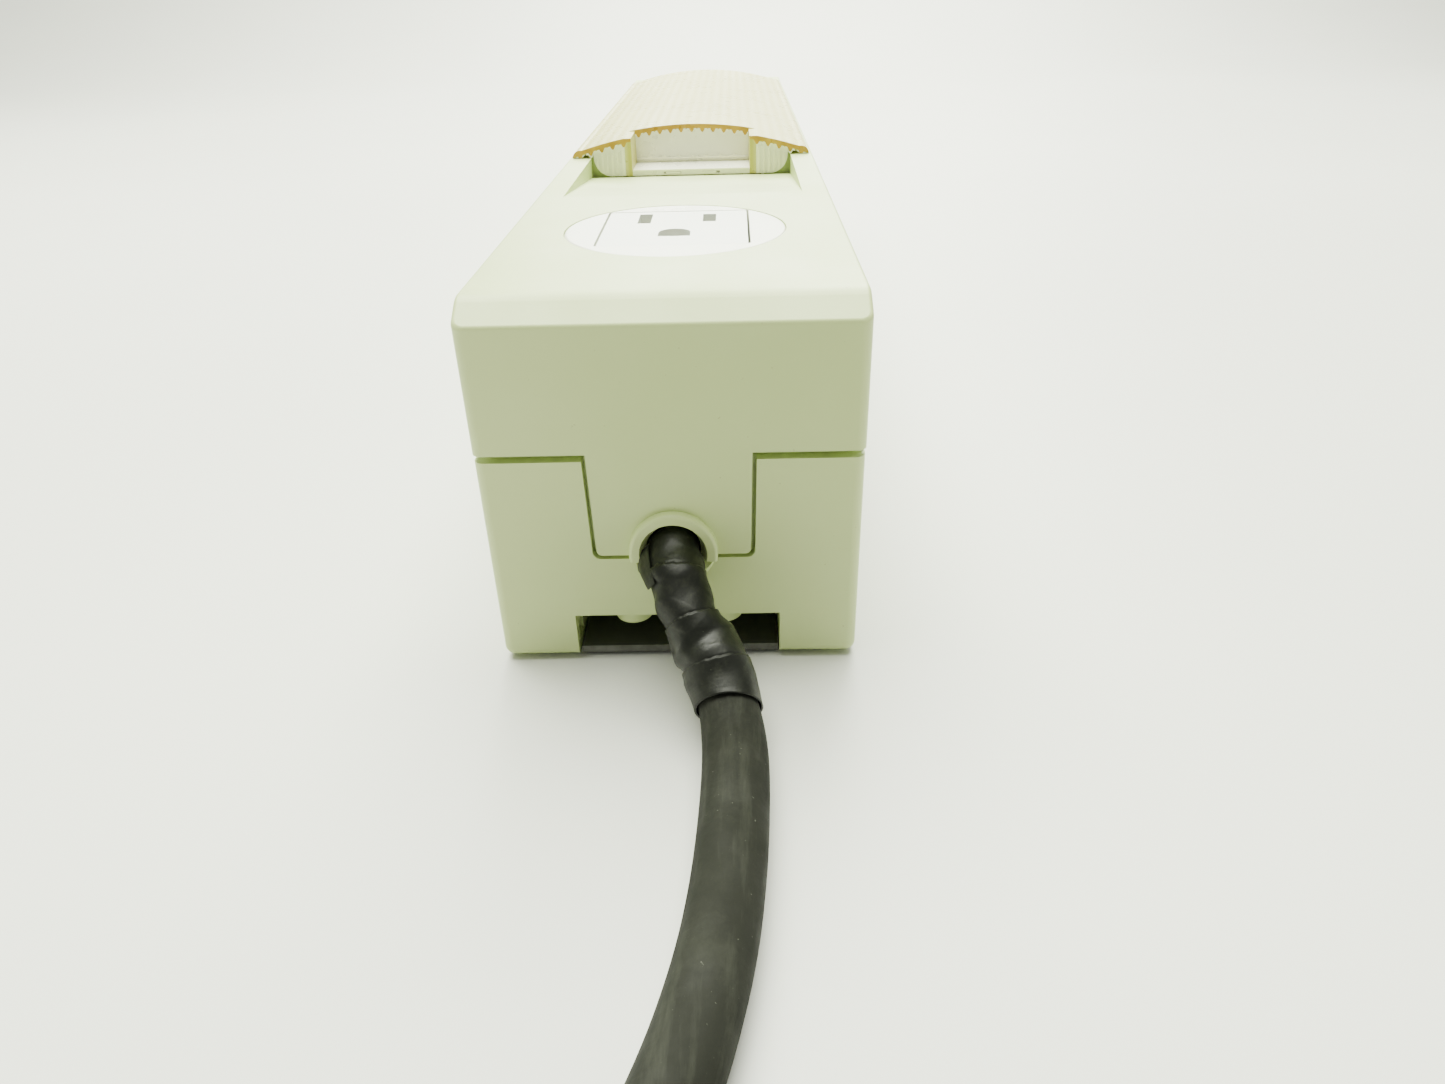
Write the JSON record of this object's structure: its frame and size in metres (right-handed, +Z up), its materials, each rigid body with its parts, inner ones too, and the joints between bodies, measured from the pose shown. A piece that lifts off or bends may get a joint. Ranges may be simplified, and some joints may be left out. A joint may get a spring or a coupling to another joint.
{
  "type": "enclosure light with outlet",
  "caption": "Slim box light with a hinged translucent diffuser over a compact lamp, a grounded outlet set in its top, a tongue-and-groove two-part housing and a mains cable with plug.",
  "frame": {"origin": "centre of the bottom of the bounding box, without the cable, its coil and plug", "axes": "+Z up from the feet to the outlet face, +Y along the housing away from the cable end, +X to the right seen from the cable end"},
  "size_m": [0.1379, 0.6361, 0.0722],
  "materials": {
    "housing": "satin",
    "diffuser": "satin, translucent",
    "plate": "matte",
    "screw": "zinc plated",
    "clamp": "matte",
    "bezel": "gloss",
    "insert": "satin",
    "brass": "bright",
    "block": "matte",
    "reflector": "gloss",
    "reflector_post": "zinc plated",
    "lamp_base": "matte",
    "lamp_glass": "phosphor-coated glass, opaque white",
    "spring": "bright",
    "core": "laminated",
    "winding": "varnished",
    "switch": "satin",
    "wire_white": "satin",
    "wire_black": "satin",
    "wire_green": "satin",
    "cord": "matte",
    "tape": "satin",
    "plug": "matte"
  },
  "bodies": {
    "housing": {"base_housing": "housing", "top_cover": "housing", "mounting_plate": "plate", "plate_screws": "screw", "cover_screws": "screw", "clamp_screws": "screw", "terminal_screws": "screw", "reflector_screws": "screw", "ballast_screws": "screw", "cable_clamp": "clamp", "socket_bezel": "bezel", "socket_insert": "insert", "socket_back": "insert", "contact_line": "brass", "contact_neutral": "brass", "contact_ground": "brass", "terminal_inserts": "brass", "terminal_block": "block", "reflector": "reflector", "reflector_posts": "reflector_post", "lampholder": "block", "lamp_clip": "spring", "ballast_core": "core", "ballast_winding": "winding", "switch_body": "switch", "switch_terminals": "brass", "wire_supply_neutral": "wire_white", "wire_supply_ground": "wire_green", "wire_supply_line": "wire_black", "wire_outlet_neutral": "wire_white", "wire_outlet_ground": "wire_green", "wire_outlet_line": "wire_black", "wire_switch_feed": "wire_black", "wire_switch_ballast": "wire_black", "wire_ballast_lamp": "wire_black", "wire_lamp_neutral": "wire_white", "wire_reflector_earth": "wire_green", "cord_stub": "cord", "cord_lead": "cord", "cord_coil": "cord", "cord_tail": "cord", "tape_wrap": "tape", "plug_body": "plug", "plug_blades": "brass", "plug_ground_pin": "brass"},
    "diffuser": {"lens": "diffuser"},
    "lamp": {"lamp_base": "lamp_base", "lamp_tube": "lamp_glass", "lamp_pins": "brass"},
    "rocker": {"switch_rocker": "switch"}
  },
  "joints": [
    {"name": "diffuser_hinge", "type": "hinge", "parent": "housing", "child": "diffuser", "pos_m": [0, 0.13435, 0.06615], "axis": [-1, 0, 0], "range_deg": [0, 70]},
    {"name": "lamp_slide", "type": "slide", "parent": "housing", "child": "lamp", "axis": [0, 1, 0], "range_m": [0, 0.025]},
    {"name": "switch_tilt", "type": "hinge", "parent": "housing", "child": "rocker", "pos_m": [0, 0.15735, 0.065], "axis": [0, 1, 0], "range_deg": [-18, 0]}
  ]
}
